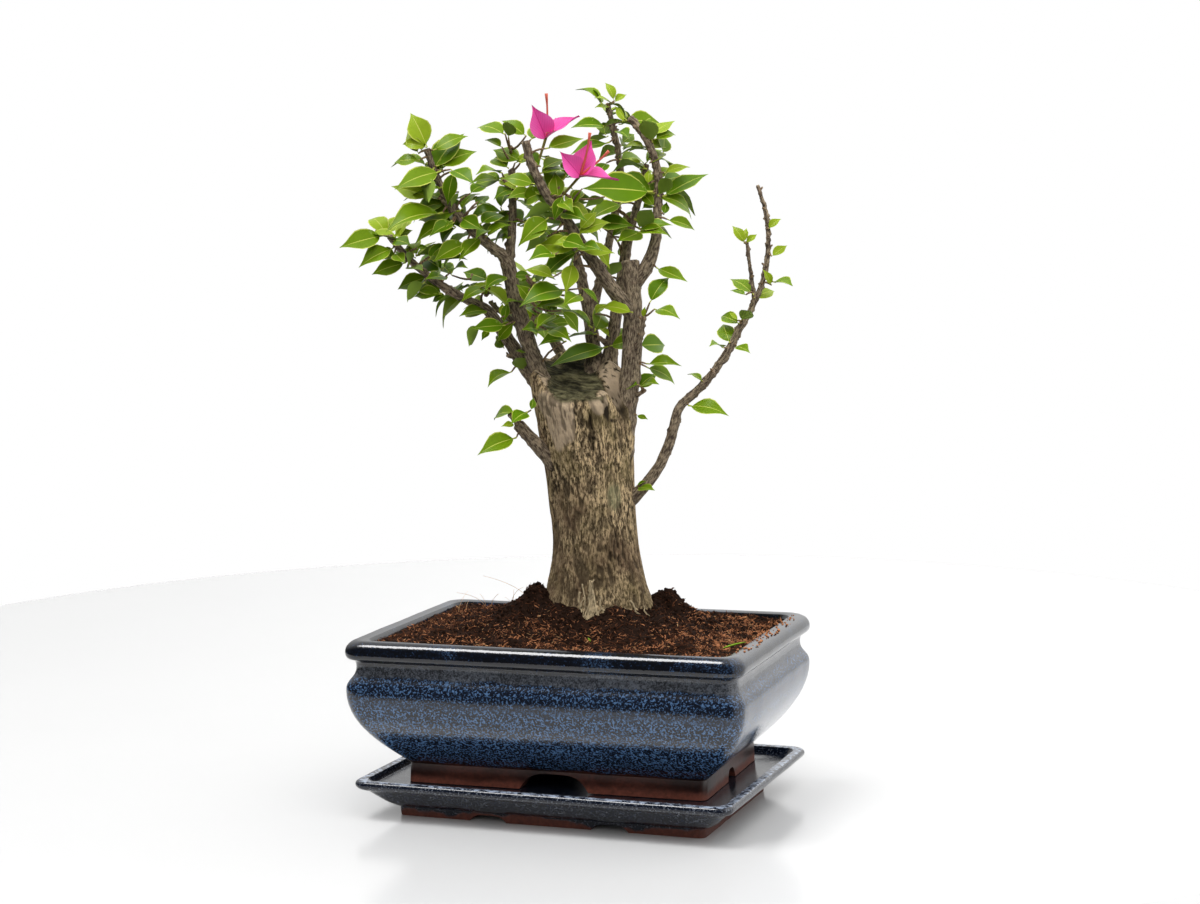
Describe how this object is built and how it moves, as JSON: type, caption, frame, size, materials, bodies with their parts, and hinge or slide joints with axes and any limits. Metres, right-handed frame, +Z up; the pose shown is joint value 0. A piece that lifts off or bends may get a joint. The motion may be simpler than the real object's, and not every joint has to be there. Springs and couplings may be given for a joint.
{
  "type": "potted bougainvillea bonsai",
  "caption": "Bougainvillea bonsai: stout sawn-off trunk with leafy boughs and pink bracts, in a blue glazed rectangular pot standing in a shallow glazed saucer.",
  "frame": {"origin": "on the standing surface under the middle of the pot", "axes": "+X along the pot's width, to the right seen from its front; +Y away from the front; +Z up"},
  "size_m": [0.2694, 0.1795, 0.442],
  "materials": {
    "saucer_glaze": "gloss, black-navy glaze over terracotta",
    "pot_glaze": "gloss, mottled deep blue glaze over terracotta",
    "soil": "matt, reddish brown fibre and peat",
    "trunk_bark": "matt, furrowed grey-brown bark",
    "bough_bark": "matt, warty grey-brown bark",
    "leaf": "satin, mid green leaf with a paler underside",
    "bract": "papery magenta bract"
  },
  "bodies": {
    "root": {"saucer": "saucer_glaze", "pot": "pot_glaze", "soil": "soil", "trunk": "trunk_bark", "bough_left": "bough_bark", "bough_left_low": "bough_bark", "bough_right": "bough_bark", "bough_right_upper": "bough_bark", "bough_cross": "bough_bark", "bough_back_left": "bough_bark", "bough_back_right": "bough_bark", "bough_top": "bough_bark", "bough_behind": "bough_bark", "bough_low": "bough_bark", "bough_low_outer": "bough_bark", "stub_left": "bough_bark", "leaves_left_low": "leaf", "leaves_left_top": "leaf", "leaves_left_mid": "leaf", "leaves_cross": "leaf", "leaves_right": "leaf", "leaves_top": "leaf", "leaves_far_right": "leaf", "leaves_stub": "leaf", "leaves_right_inner": "leaf", "leaves_right_low": "leaf", "leaves_low_mid": "leaf", "leaves_left_foot": "leaf", "leaves_trunk_top": "leaf", "leaves_left_front": "leaf", "leaves_cross_low": "leaf", "leaves_left_inner": "leaf", "leaves_back_right": "leaf", "leaves_back_left": "leaf", "leaves_behind": "leaf", "bloom_upper": "bract", "bloom_lower": "bract"}
  },
  "joints": []
}
